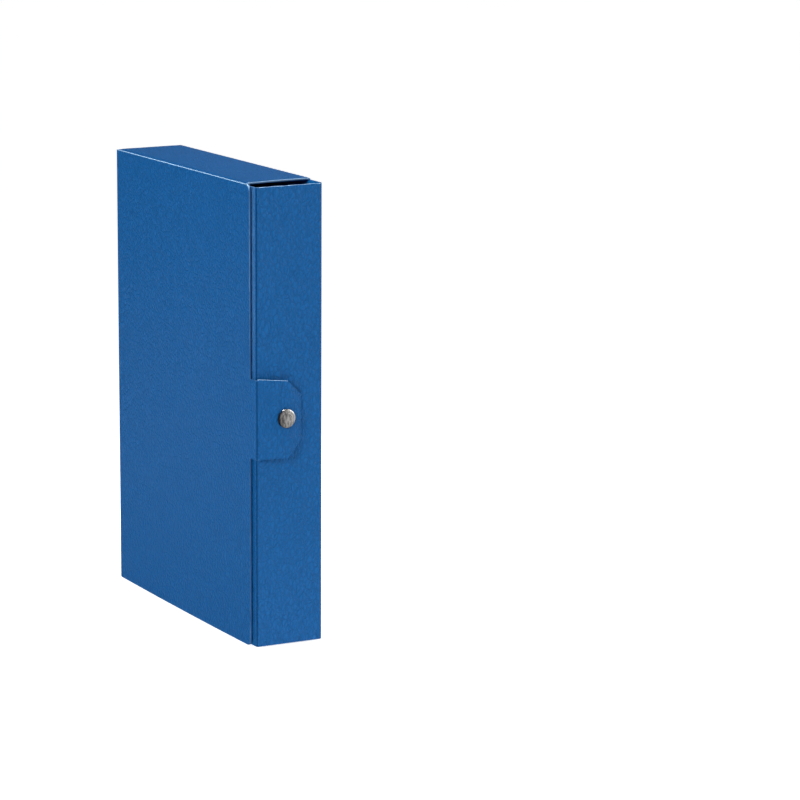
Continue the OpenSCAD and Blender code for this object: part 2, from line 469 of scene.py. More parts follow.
@dataclass(frozen=True)
class StudioPaper:
    """The pale floor, lit evenly from below as a light table is."""

    name: str = "studio_paper"
    glow: float = 0.78

    def material(self) -> bpy.types.Material:
        """Makes the material: near-white paper with a trace of tone.

        Returns:
            The material.
        """
        bench = NodeBench(self.name)
        place = bench.place(None, (1.0, 1.0, 1.0))
        tone = bench.noise(place, 3.0, 3.0)
        colour = bench.mix(tone, "Fac", (0.90, 0.90, 0.91, 1.0), (0.93, 0.93, 0.93, 1.0))
        bench.join(colour, 2, bench.shader, "Base Color")
        bench.set(Roughness=0.9, Specular_IOR_Level=0.1)
        bench.set(Emission_Color=(1.0, 1.0, 1.0, 1.0), Emission_Strength=self.glow)
        return bench.material


@dataclass
class FinishRack:
    """Every finish of the box, made once."""

    board: list[bpy.types.Material] = field(init=False)
    nickel: bpy.types.Material = field(init=False)
    lacquer: bpy.types.Material = field(init=False)
    paper: bpy.types.Material = field(init=False)

    def __post_init__(self) -> None:
        """Makes the materials, the board's in the order of Facing."""
        self.board = [
            GrainedBoard().material(),
            SmoothBoard().material(),
            CutCore().material(),
        ]
        self.nickel = PolishedNickel().material()
        self.lacquer = BlackLacquer().material()
        self.paper = StudioPaper().material()


# ---------------------------------------------------------------- surfaces


@dataclass(frozen=True)
class Skin:
    """A closed surface in millimetres: points, four- and three-sided faces, their finish numbers."""

    points: Array
    quads: Array
    triangles: Array
    finish: Array
    # Per point: worn paleness and painted highlight above 0, painted shade below 0.
    wear_and_painted_light: Array | None = None

    def volume(self) -> float:
        """Works out the volume that the faces enclose.

        It is a sixth of the sum of a . (b x c) over the triangles that the
        faces split into, and is negative if the faces look inwards.

        Returns:
            The volume in cubic millimetres.
        """
        split = np.concatenate([self.quads[:, :3], self.quads[:, [0, 2, 3]], self.triangles])
        a, b, c = (self.points[split[:, corner]] for corner in range(3))
        return float(np.einsum("ij,ij->", a, np.cross(b, c)) / 6.0)

    def object(
        self, name: str, materials: list[bpy.types.Material], crisp: float = 38.0
    ) -> bpy.types.Object:
        """Puts the skin into the scene, with every face looking outwards.

        Args:
            name: The piece's name.
            materials: The materials, by finish number.
            crisp: Edges sharper than this many degrees stay sharp.

        Returns:
            The new object, at the origin.
        """
        way = -1 if self.volume() < 0 else 1
        faces = self.quads[:, ::way].tolist() + self.triangles[:, ::way].tolist()
        mesh = bpy.data.meshes.new(name)
        mesh.from_pydata((self.points * MM).tolist(), [], faces)
        for material in materials:
            mesh.materials.append(material)
        mesh.polygons.foreach_set("material_index", self.finish.astype(np.int32))
        mesh.polygons.foreach_set("use_smooth", np.ones(len(faces), bool))
        mesh.set_sharp_from_angle(angle=math.radians(crisp))
        rest = mesh.attributes.new(REST_PLACE, "FLOAT_VECTOR", "POINT")
        rest.data.foreach_set("vector", (self.points * MM).astype(np.float32).ravel())
        if self.wear_and_painted_light is not None:
            wear_and_painted_light = mesh.attributes.new(WEAR_AND_PAINTED_LIGHT, "FLOAT", "POINT")
            wear_and_painted_light.data.foreach_set("value", self.wear_and_painted_light.astype(np.float32))
        mesh.update()
        piece = bpy.data.objects.new(name, mesh)
        bpy.context.scene.collection.objects.link(piece)
        return piece


def spread(
    low: float, high: float, step: float, hem: float = 0.0, also: tuple[float, ...] = ()
) -> Array:
    """Places grid lines from low to high.

    Evenly spaced lines at most step apart, one more at hem inside each end,
    and the extra lines asked for, sorted, with near doubles dropped.

    Args:
        low: The first line.
        high: The last line.
        step: The largest spacing.
        hem: Distance of the line that keeps each edge crisp, or 0 for none.
        also: Extra lines.

    Returns:
        The lines in rising order.
    """
    lines = np.linspace(low, high, max(2, int(math.ceil((high - low) / step)) + 1))
    extra = [x for x in also if low < x < high]
    if hem:
        extra += [low + hem, high - hem]
    if extra:
        keep = np.all(np.abs(lines[:, None] - np.array(extra)[None, :]) > 0.3, axis=1)
        keep[[0, -1]] = True
        lines = np.concatenate([lines[keep], extra])
    return np.unique(np.round(lines, 6))


def rolled(past: Array, depth: Array, radius: float) -> tuple[Array, Array]:
    """Carries a flat sheet round a fold.

    Past the tangent line the face turns at a = past / radius. A point at that
    depth under the face lies (radius - depth) sin a along and
    radius - (radius - depth) cos a below the flat face.

    Args:
        past: Distance past the tangent line along the face; not yet turning if negative.
        depth: Depth under the face.
        radius: The fold's outer radius.

    Returns:
        Distance along from the tangent line, and depth below the flat face.
    """
    turn = np.maximum(past, 0.0) / radius
    inner = radius - depth
    return np.minimum(past, 0.0) + inner * np.sin(turn), radius - inner * np.cos(turn)


def corner_lines(low: float, high: float, radius: float, steps: int, middle: Array) -> Array:
    """Places grid lines closely where an outline's two ends have rounded corners.

    The lines stand radius (1 - cos a) inside each end, for even steps of a
    from 0 to a right angle.

    Args:
        low: The first line.
        high: The last line.
        radius: The corners' radius.
        steps: Lines in each corner.
        middle: The lines between the corners.

    Returns:
        The lines in rising order.
    """
    inset = radius - radius * np.cos(np.radians(np.linspace(0, 90, steps)))
    return np.unique(np.round(np.concatenate([low + inset, middle, high - inset]), 6))


def corner_pull(v: Array, low: float, high: float, radius: float) -> Array:
    """Gives how far an edge stands back where its ends have rounded corners.

    With d the distance past the start of the nearer arc, it is
    radius - sqrt(radius^2 - d^2), and 0 between the arcs.

    Args:
        v: Places along the edge.
        low: Where the edge starts.
        high: Where it ends.
        radius: The corners' radius.

    Returns:
        The distance back from the straight edge.
    """
    past = np.clip(radius - np.minimum(v - low, high - v), 0.0, radius)
    return radius - np.sqrt(np.maximum(radius * radius - past * past, 0.0))


def eased(t: Array) -> Array:
    """Returns 3t^2 - 2t^3 of t held between 0 and 1."""
    t = np.clip(t, 0.0, 1.0)
    return t * t * (3.0 - 2.0 * t)


@dataclass
class BoardSheet:
    """A piece of board of one thickness, cut to an outline and then shaped.

    u and v are grid arrays on the flat sheet, mask says which cells are board,
    and shape carries (u, v, depth share) into the row frame. Edges are cut
    unless held_u or held_v holds them against the offset of the cut profile.
    The rim field gives how pale the cut's outer rim is painted, as worn board and painted highlight, in
    place of even_rub, and tone the outer face's painted light: painted highlight above 0, painted shade
    below. core is the finish of the cut.
    """

    u: Array
    v: Array
    shape: Placement
    held_u: Array
    held_v: Array | None = None
    mask: Array | None = None
    rim_worn_and_lit: Tone | None = None
    tone: Tone | None = None
    core: Facing = Facing.CORE
    thickness: float = 1.5
    trim: float = TRIM
    even_rub: float = 0.25

    # outwards share of the trim, depth in mm, share of the rim's paleness (worn and painted highlight)
    # that reaches the ring, and the finish of the band that ends there
    CUT = (
        (0.00, 0.00, 0.0, Facing.OUTER),
        (0.50, 0.03, 1.0, Facing.OUTER),
        (0.85, 0.12, 1.0, Facing.OUTER),
        (1.00, 0.28, 1.0, Facing.OUTER),
        (1.00, 0.34, 0.8, Facing.CORE),
        (1.00, 1.25, 0.6, Facing.CORE),
        (0.60, 1.44, 0.0, Facing.INNER),
        (0.00, 1.50, 0.0, Facing.INNER),
    )

    def away(self, start: Array, end: Array) -> tuple[Array, Array]:
        """Gives the outward direction of outline edges.

        Args:
            start: The grid numbers of the points where they start.
            end: The grid numbers of the points where they end.

        Returns:
            The direction's share along u and along v.
        """
        du = self.u.ravel()[end] - self.u.ravel()[start]
        dv = self.v.ravel()[end] - self.v.ravel()[start]
        length = np.hypot(du, dv)
        return dv / length, -du / length

    def outline(self, cells: Array) -> tuple[Array, Array, Array]:
        """Finds the outline and the way it grows.

        An edge of the grid used by one cell only is part of the outline. Each
        outline point grows along the mitre of its two edges.

        Args:
            cells: The four grid numbers of each cell.

        Returns:
            The outline's grid numbers, the place in them of the next point,
            and the growth along u and v.
        """
        size = self.u.size
        tails, heads = cells.ravel(), np.roll(cells, -1, axis=1).ravel()
        lone = ~np.isin(tails * size + heads, heads * size + tails)
        rim, heads = tails[lone], heads[lone]
        after, before, place = np.full((3, size), -1)
        after[rim], before[heads], place[rim] = heads, rim, np.arange(len(rim))
        nu1, nv1 = self.away(before[rim], rim)
        nu2, nv2 = self.away(rim, after[rim])
        mitre = np.maximum(1.0 + nu1 * nu2 + nv1 * nv2, 0.4)
        grow = np.stack([nu1 + nu2, nv1 + nv2]) / mitre
        grow[0, self.held_u.ravel()[rim]] = 0.0
        if self.held_v is not None:
            grow[1, self.held_v.ravel()[rim]] = 0.0
        return rim, place[after[rim]], grow

    def skin(self) -> Skin:
        """Works out both faces and the cut edge between them.

        The two faces are the grid at depth 0 and at full depth. The outline
        grows by the trim at the depths in CUT, and the bands between those
        rings close the skin.

        Returns:
            The closed skin.
        """
        number = np.arange(self.u.size).reshape(self.u.shape)
        corners = (number[:-1, :-1], number[:-1, 1:], number[1:, 1:], number[1:, :-1])
        mask = np.ones(corners[0].shape, bool) if self.mask is None else self.mask
        cells = np.stack([corner[mask] for corner in corners], 1)
        rim, step, grow = self.outline(cells)
        used = np.unique(cells)
        index = np.full(self.u.size, -1)
        index[used] = np.arange(len(used))
        u, v = self.u.ravel(), self.v.ravel()
        points = [self.shape(u[used], v[used], np.full(len(used), share)) for share in (0.0, 1.0)]
        # The face's painted light and shade, and the rims' paleness: worn edges and painted highlight.
        tone = np.zeros(len(used)) if self.tone is None else self.tone(u[used], v[used])
        rim_worn_and_lit = np.full(len(rim), self.even_rub) if self.rim_worn_and_lit is None else self.rim_worn_and_lit(u[rim], v[rim])
        wear_and_painted_light = [tone, np.zeros(len(used))]
        rings, count = [index[rim]], 2 * len(used)
        for reach, depth, pale_worn_and_lit, _ in self.CUT[1:-1]:
            at = np.stack([u[rim], v[rim]]) + grow * reach * self.trim
            points.append(self.shape(at[0], at[1], np.full(len(rim), depth / self.thickness)))
            wear_and_painted_light.append(rim_worn_and_lit * pale_worn_and_lit)
            rings.append(count + np.arange(len(rim)))
            count += len(rim)
        rings.append(len(used) + index[rim])
        faces = [index[cells], len(used) + index[cells][:, ::-1]]
        finish = [np.full(len(cells), facing.value) for facing in (Facing.OUTER, Facing.INNER)]
        for (near, far), band in zip(zip(rings[:-1], rings[1:]), self.CUT[1:]):
            faces.append(np.stack([near[step], near, far, far[step]], 1))
            facing = self.core if band[3] is Facing.CORE else band[3]
            finish.append(np.full(len(rim), facing.value))
        nothing = np.zeros((0, 3), int)
        return Skin(
            np.concatenate(points),
            np.concatenate(faces),
            nothing,
            np.concatenate(finish),
            np.concatenate(wear_and_painted_light),
        )


@dataclass(frozen=True)
class Turned:
    """A part turned about the axis of a press stud.

    The profile is (radius, height) pairs in millimetres, from the axis round
    the outside and back to the axis, or closed on itself for a ring.
    """

    centre: tuple[float, float, float]
    axis: tuple[float, float, float]
    profile: Array
    ring: bool = False
    steps: int = 96

    def skin(self) -> Skin:
        """Works out the surface: each profile point goes round a circle of its radius at its height.

        Returns:
            The closed skin.
        """
        axis = np.array(self.axis, float)
        side = np.array([0.0, 0.0, 1.0]) - axis[2] * axis
        side /= np.linalg.norm(side)
        across = np.cross(side, axis)
        angle = np.linspace(0.0, 2.0 * math.pi, self.steps, endpoint=False)
        spokes = np.cos(angle)[:, None] * across + np.sin(angle)[:, None] * side
        body = self.profile if self.ring else self.profile[1:-1]
        points = np.array(self.centre) + body[:, None, :1] * spokes + body[:, None, 1:] * axis
        points = points.reshape(-1, 3)
        number = np.arange(len(body) * self.steps).reshape(len(body), self.steps)
        low = number if self.ring else number[:-1]
        high = np.roll(number, -1, axis=0) if self.ring else number[1:]
        quads = np.stack([low, high, np.roll(high, -1, 1), np.roll(low, -1, 1)], -1).reshape(-1, 4)
        triangles = np.zeros((0, 3), int)
        if not self.ring:
            poles = np.array(self.centre) + self.profile[[0, -1], 1][:, None] * axis
            first, start, end = np.full(self.steps, len(points)), number[0], number[-1]
            points = np.concatenate([points, poles])
            triangles = np.concatenate(
                [
                    np.stack([first, start, np.roll(start, -1)], 1),
                    np.stack([first + 1, np.roll(end, -1), end], 1),
                ]
            )
        return Skin(points, quads, triangles, np.zeros(len(quads) + len(triangles)))


def softened(profile: list[tuple[float, float]], radius: float = 0.12, steps: int = 4) -> Array:
    """Rounds the corners of a turned profile.

    Each inner corner becomes a quadratic curve between points at most radius,
    and at most 0.4 of the edge, from it.

    Args:
        profile: (radius, height) pairs.
        radius: How far each rounding reaches.
        steps: Points per rounding.

    Returns:
        The profile with its corners rounded.
    """
    p = np.array(profile, float)
    before, at, after = p[:-2], p[1:-1], p[2:]
    to_before, to_after = before - at, after - at
    lb, la = np.linalg.norm(to_before, axis=1), np.linalg.norm(to_after, axis=1)
    start = at + to_before * (np.minimum(radius, 0.4 * lb) / lb)[:, None]
    end = at + to_after * (np.minimum(radius, 0.4 * la) / la)[:, None]
    t = np.linspace(0.0, 1.0, steps)[None, :, None]
    curve = (1 - t) ** 2 * start[:, None] + 2 * t * (1 - t) * at[:, None] + t**2 * end[:, None]
    return np.concatenate([p[:1], curve.reshape(-1, 2), p[-1:]])


# ---------------------------------------------------------------- the box


@dataclass
class BoxSizes:
    """Main sizes of the box in its frame, from the CAD model."""

    half_depth: float = 125.0
    half_width: float = 28.5
    height: float = 350.0
    board: float = 1.5
    fold: float = 1.6
    wall_foot: float = 0.9
    wall_head: float = 348.2
    slot_flap_side: float = 108.5
    slot_back_side: float = 105.5
    slot_run: float = 52.0
    cover_edge: float = 118.5
    cover_gap: float = 0.5
    corner: float = 5.0
    tab_middle: float = 175.0
    tab_half: float = 30.0
    neck_root: float = 1.2
    tab_stud_y: float = -3.75
    corner_stud_x: float = 77.0
    corner_stud_y: float = -21.7
    corner_stud_in: float = 44.0

    @property
    def quarter(self) -> float:
        """Length of face from a fold's tangent line to the middle of the fold."""
        return self.fold * math.pi / 4

    @property
    def wall_ends(self) -> tuple[float, float]:
        """Grid ends of the fore-edge wall and flap, a trim inside their cut edges."""
        return self.wall_foot + TRIM, self.wall_head - TRIM

    @property
    def turn_lines(self) -> Array:
        """Grid lines across half a fold, past its tangent line."""
        return np.linspace(0.0, self.quarter, 5)[1:]


@dataclass
class PanelMaker:
    """What every panel of board shares: its sizes and its finishes."""

    sizes: BoxSizes
    finishes: FinishRack

    def finish(self, sheet: BoardSheet, name: str, body: Body, node: str) -> None:
        """Makes a sheet into a piece that rides on one body.

        Args:
            sheet: The sheet.
            name: The piece's name.
            body: The body it rides on.
            node: The CAD node it stands for.
        """
        piece = sheet.skin().object(name, self.finishes.board)
        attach(piece, body.value)
        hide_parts(node)
        log.info("%s: %d faces on %s", name, len(piece.data.polygons), body.value)

    def crease(
        self,
        sheet: BoardSheet,
        name: str,
        a: Body,
        b: Body,
        start: tuple[float, ...],
        end: tuple[float, ...],
    ) -> None:
        """Makes a sheet into a crease piece, baked in place, and logs the bodies on either side.

        Args:
            sheet: The sheet.
            name: The piece's name.
            a: The body at start.
            b: The body at end.
            start: Not used.
            end: Not used.
        """
        piece = sheet.skin().object(name, self.finishes.board)
        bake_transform(piece)
        log.info("%s: %d faces between %s and %s", name, len(piece.data.polygons), a.value, b.value)


@dataclass
class BoxBody(PanelMaker):
    """The tray: back panel, fore-edge wall and flap, and the two ends with their flaps."""

    rise: float = 0.4
    rise_from: float = 250.0
    rise_side: float = -24.0
    rise_width: float = 50.0
    crown: float = 0.6
    crown_from: float = 340.0
    crown_run: float = 8.0
    flap_reach: float = 64.75
    flap_corner: float = 3.0
    flap_face: float = -26.2
    end_flap_width: float = 72.0
    end_flap_slant: float = 18.0
    end_flap_tilt: float = 3.58
    end_split: float = 27.1
    end_flap_foot: float = -24.4
    profile_end: float = 110.0
    tuck_start: float = 48.0
    tuck_run: float = 10.0
    end_left: float = -122.95
    corner_score: float = 0.45
    edge_wave: float = 0.12

    # An end's cross-section: distance along the face from the middle of the
    # wall, then y and depth under the end's level of the outer face where the
    # nose stands free, where it is tucked under the cover, and of the inner face.
    NOSE = (
        (0.0, 20.0, 23.4, 25.3, 26.3, 27.1, 28.0, 29.3, 32.0, 40.0),
        (0.0, -20.0, -23.4, -25.2, -26.0, -26.3, -26.3, -26.1, -25.6, -24.9),
        (0.0, 0.0, 0.05, 0.3, 0.8, 1.5, 2.4, 3.7, 6.4, 14.4),
        (0.0, -20.0, -23.4, -25.2, -26.0, -26.2, -25.6, -24.5, -24.3, -24.1),
        (0.0, 0.0, 0.05, 0.3, 0.7, 1.25, 1.6, 2.1, 4.6, 12.6),
        (0.0, -20.0, -22.3, -22.7, -22.85, -22.9, -22.9, -22.85, -22.7, -22.3),
        (1.5, 1.5, 1.5, 1.6, 1.75, 2.0, 2.6, 3.7, 6.3, 14.2),
    )

    def settle(self, points: Array) -> Array:
        """Lets the set-up box stand a little out of true.

        The head end climbs by the rise from its flap side to its back side,
        with the square of the height above rise_from, and it crowns by a
        parabola along its length and across it.

        Args:
            points: Points in the row frame.

        Returns:
            The moved points.
        """
        x, y, z = points[:, 0], points[:, 1], points[:, 2]
        s = self.sizes
        up = np.clip((z - self.rise_from) / (s.height - self.rise_from), 0.0, 1.0) ** 2
        across = eased((y - self.rise_side) / self.rise_width)
        bulge = 1.0 - (np.clip(x / s.half_depth, -1, 1)) ** 2
        lift = self.crown * bulge * np.clip(1 - (y / s.half_width) ** 2, 0.0, 1.0)
        top = np.clip((z - self.crown_from) / self.crown_run, 0.0, 1.0)
        out = points.copy()
        out[:, 2] = z + self.rise * up * across + lift * top
        return out

    def groove(self, past: Array) -> Array:
        """Gives the depth share of the score line of the corner between wall and flap.

        It is a bell curve about the middle of the fold.

        Args:
            past: Distance past the fold's tangent line.

        Returns:
            1 in the middle of the score, falling to 0 beside it.
        """
        return np.exp(-(((past - self.sizes.quarter) / 0.55) ** 2))

    def back(self) -> None:
        """Makes the back panel: flat, turning half-way into the fore-edge wall and both ends."""
        s = self.sizes
        flat = s.half_depth - s.fold
        low, high = s.fold, s.height - s.fold
        slot = s.slot_back_side
        x = spread(-flat, flat, GRID, HEM, (self.end_left, slot - TRIM, slot + HEM))
        x = np.concatenate([x, flat + s.turn_lines])
        foot, head = s.wall_ends
        flat_z = spread(low, high, GRID, HEM, (head,))
        z = np.concatenate([low - s.turn_lines[::-1], flat_z, high + s.turn_lines])
        z[np.argmin(np.abs(z - foot))] = foot
        u, v = np.meshgrid(x, z)
        mx, mz = np.meshgrid((x[:-1] + x[1:]) / 2, (z[:-1] + z[1:]) / 2)
        level_x, level_z = mx < flat, (mz > low) & (mz < high)
        in_wall = (mz > foot) & (mz < head)
        in_end = (mx > self.end_left) & (mx < slot - TRIM)

        def shape(u: Array, v: Array, share: Array) -> Array:
            """Turns the sheet round its folds.

            Args:
                u: Distance along x of the flat sheet.
                v: Distance along z.
                share: Share of the thickness.

            Returns:
                Points in the row frame.
            """
            depth = share * s.board
            ax, dx = rolled(u - flat, depth, s.fold)
            az, dz = rolled(np.where(v > s.height / 2, v - high, low - v), depth, s.fold)
            z = np.where(v > s.height / 2, high + az, low - az)
            return self.settle(np.stack([flat + ax, s.half_width - (dx + dz - depth), z], 1))

        sheet = BoardSheet(
            u,
            v,
            shape,
            (np.abs(u + flat) < TINY) | (u > flat + TINY),
            (v < low - TINY) | (v > high + TINY),
            (level_x & level_z) | (~level_x & in_wall) | (level_x & ~level_z & in_end),
        )
        self.finish(sheet, "back_panel_board", Body.BOX, "back_panel")

    def wall(self) -> None:
        """Makes the fore-edge wall, turning half-way into the back panel and the flap."""
        s = self.sizes
        high_y, low_y = s.half_width - s.fold, self.flap_face + s.fold
        near_fold = low_y + np.array([0.0, 0.25, 0.55, 0.9, 1.4, 2.0])
        turning = low_y - np.linspace(0.0, s.quarter, 9)[:0:-1]
        flat = spread(low_y + 3.0, high_y, 5.0, 0.8)
        y = np.concatenate([turning, near_fold, flat, high_y + s.turn_lines])
        z = spread(*s.wall_ends, 6.0, HEM)
        u, v = np.meshgrid(y, z)

        def shape(u: Array, v: Array, share: Array) -> Array:
            """Turns the sheet round its folds, sinks the score and waves the top edge.

            Args:
                u: Distance along y of the flat sheet.
                v: Distance along z.
                share: Share of the thickness.

            Returns:
                Points in the row frame.
            """
            score = self.corner_score * self.groove(low_y - u) * (1.0 - share)
            past = np.where(u > 0, u - high_y, low_y - u)
            along, down = rolled(past, share * s.board + score, s.fold)
            y = np.where(u > 0, high_y + along, low_y - along)
            wave = self.edge_wave * np.sin(u * 0.9) * np.exp(-(((s.height - v) / 9.0) ** 2))
            return self.settle(np.stack([s.half_depth - down, y, v + wave], 1))

        def rim_worn_and_lit(u: Array, v: Array) -> Array:
            """Returns how pale the rim is painted: more at the head end, unevenly, as worn board and painted
            highlight where it faces the light.
            """
            return np.where(v > s.height / 2, 0.75 + 0.2 * np.sin(u * 0.8), 0.3)

        def tone(u: Array, v: Array) -> Array:
            """Returns the face's painted shade: dark in the score line at the corner."""
            return -self.groove(low_y - u)

        held = (u > high_y + TINY) | (u < low_y - TINY)
        sheet = BoardSheet(u, v, shape, held, rim_worn_and_lit=rim_worn_and_lit, tone=tone)
        self.finish(sheet, "fore_edge_wall_board", Body.BOX, "fore_edge_wall")

    def flap(self) -> None:
        """Makes the fore-edge flap, with rounded free corners, turning half-way into the wall."""
        s = self.sizes
        fold_x = s.half_depth - s.fold
        free_x = s.half_depth - self.flap_reach
        r = self.flap_corner
        near_fold = fold_x - np.array([2.6, 1.9, 1.3, 0.8, 0.4, 0.0])
        turning = fold_x + np.linspace(0.0, s.quarter, 9)[1:]
        x = np.concatenate([spread(free_x, fold_x - 4.0, 6.0, HEM), near_fold, turning])
        low, high = s.wall_ends
        z = corner_lines(low, high, r, 7, spread(low + r, high - r, GRID))
        u, v = np.meshgrid(x, z)
        u = u + corner_pull(v, low, high, r) * np.clip(1.0 - (u - free_x) / 12.0, 0.0, 1.0)

        def shape(u: Array, v: Array, share: Array) -> Array:
            """Turns the sheet round its fold and sinks the score.

            Args:
                u: Distance along x of the flat sheet.
                v: Distance along z.
                share: Share of the thickness.

            Returns:
                Points in the row frame.
            """
            score = self.corner_score * self.groove(u - fold_x) * (1.0 - share)
            along, down = rolled(u - fold_x, share * s.board + score, s.fold)
            return self.settle(np.stack([fold_x + along, self.flap_face + down, v], 1))

        def tone(u: Array, v: Array) -> Array:
            """Gives the face's painted light and shade: a highlight beside the corner in the upper half,
            a shadow from under the tab down, and shade in the score line at the corner.

            Args:
                u: Distance along x of the flat sheet.
                v: Distance along z.

            Returns:
                The painted light: highlight above 0, shade below.
            """
            # Painted highlight beside the corner in the upper half, painted shadow from under the tab
            # downwards.
            painted_light_and_shadow = 0.10 * eased((v - 150.0) / 110.0) - 0.10 * eased((190.0 - v) / 60.0)
            painted_light_and_shadow = painted_light_and_shadow * np.exp(-(((u - fold_x + 2.5) / 3.0) ** 2))
            return painted_light_and_shadow - (1.0 + painted_light_and_shadow) * self.groove(u - fold_x)

        sheet = BoardSheet(u, v, shape, u > fold_x + TINY, tone=tone)
        self.finish(sheet, "fore_edge_flap_board", Body.BOX, "fore_edge_flap")

    def end_profile(self, v: Array, share: Array, x: Array) -> tuple[Array, Array]:
        """Gives the cross-section of an end wall and its flap.

        v runs along the face: the flat wall from its back fold to the nose
        over the flap, the nose itself, and the flap that leans into the box.
        Each path is a line through the points in NOSE and the flap's far end,
        and share goes between the outer and the inner one.

        Args:
            v: Distance along the face from the middle of the wall.
            share: Share of the thickness.
            x: Position along the wall.

        Returns:
            y, and depth below the level of the end's outer face.
        """
        tilt = math.radians(self.end_flap_tilt)
        reach = self.end_flap_width + 11.0
        end_y, end_d = self.end_flap_foot + math.sin(tilt) * reach, math.cos(tilt) * reach
        ends = (self.profile_end, end_y, end_d, end_y, end_d, end_y + 1.5, end_d)
        paths = [np.array(path + (end,)) for path, end in zip(self.NOSE, ends)]
        outer_and_inner = (np.interp(v, paths[0], path) for path in paths[1:])
        free_y, free_d, tucked_y, tucked_d, in_y, in_d = outer_and_inner
        under = eased((x - self.tuck_start) / self.tuck_run)
        out_y = (1 - under) * free_y + under * tucked_y
        out_d = (1 - under) * free_d + under * tucked_d
        return (1 - share) * out_y + share * in_y, (1 - share) * out_d + share * in_d

    def end(self, head: bool) -> None:
        """Makes one end: its wall, which turns half-way into the back panel, and its flap.

        Args:
            head: True for the head end, False for the foot.
        """
        s = self.sizes
        name, level, sign = ("head", s.height, 1.0) if head else ("foot", 0.0, -1.0)
        back_y = s.half_width - s.fold
        split, left = self.end_split, self.end_left

        def shape(u: Array, v: Array, share: Array) -> Array:
            """Turns the sheet round its fold and over its nose.

            Args:
                u: Distance along x.
                v: Distance along the face from the middle of the wall.
                share: Share of the thickness.

            Returns:
                Points in the row frame.
            """
            along, down = rolled(-v - back_y, share * s.board, s.fold)
            y_low, d_low = self.end_profile(v, share, u)
            y = np.where(v < 0, np.where(-v > back_y, back_y + along, -v), y_low)
            return self.settle(np.stack([u, y, level - sign * np.where(v < 0, down, d_low)], 1))

        def rim_worn_and_lit(u: Array, v: Array) -> Array:
            """Returns how pale the rim is painted: most, as worn board and painted highlight, at the fore
            edge of the head end, less elsewhere.
            """
            return np.where((u > 90.0) & head, 0.75, 0.25)

        nose = [21.5, 23.4, 24.4, 25.3, 25.8, 26.3, split]
        wall_v = np.concatenate([-back_y - s.turn_lines[::-1], spread(-back_y, 20.0, 5.0, 0.8), nose])
        across = spread(0.0, 1.0, 0.02)
        share_x, v = np.meshgrid(across, wall_v)
        slot = s.slot_flap_side - s.slot_back_side
        edge = s.slot_back_side + slot * np.clip((v + back_y) / s.slot_run, 0, 1) - TRIM
        u = left + share_x * (edge - left)
        ends_v = (v < -back_y - TINY) | (v > split - TINY)
        sheet = BoardSheet(u, v, shape, np.zeros_like(ends_v), ends_v, rim_worn_and_lit=rim_worn_and_lit)
        self.finish(sheet, f"{name}_end_wall_board", Body.BOX, f"{name}_end_wall")

        nose = [split, 27.5, 28.0, 28.6, 29.3, 30.6, 32.0, 34.0]
        flap_v = np.concatenate([nose, spread(37.0, split + self.end_flap_width, 6.0, HEM)])
        share_x, v = np.meshgrid(across, flap_v)
        slant = self.end_flap_slant * np.clip((v - split) / self.end_flap_width, 0, 1)
        u = left + slant + share_x * (s.slot_flap_side - TRIM - left - slant)
        held = v < split + TINY
        sheet = BoardSheet(u, v, shape, np.zeros_like(held), held)
        self.finish(sheet, f"{name}_end_flap_board", Body.BOX, f"{name}_end_flap")

    def build(self) -> None:
        """Makes every panel of the tray."""
        self.back()
        self.wall()
        self.flap()
        self.end(head=True)
        self.end(head=False)


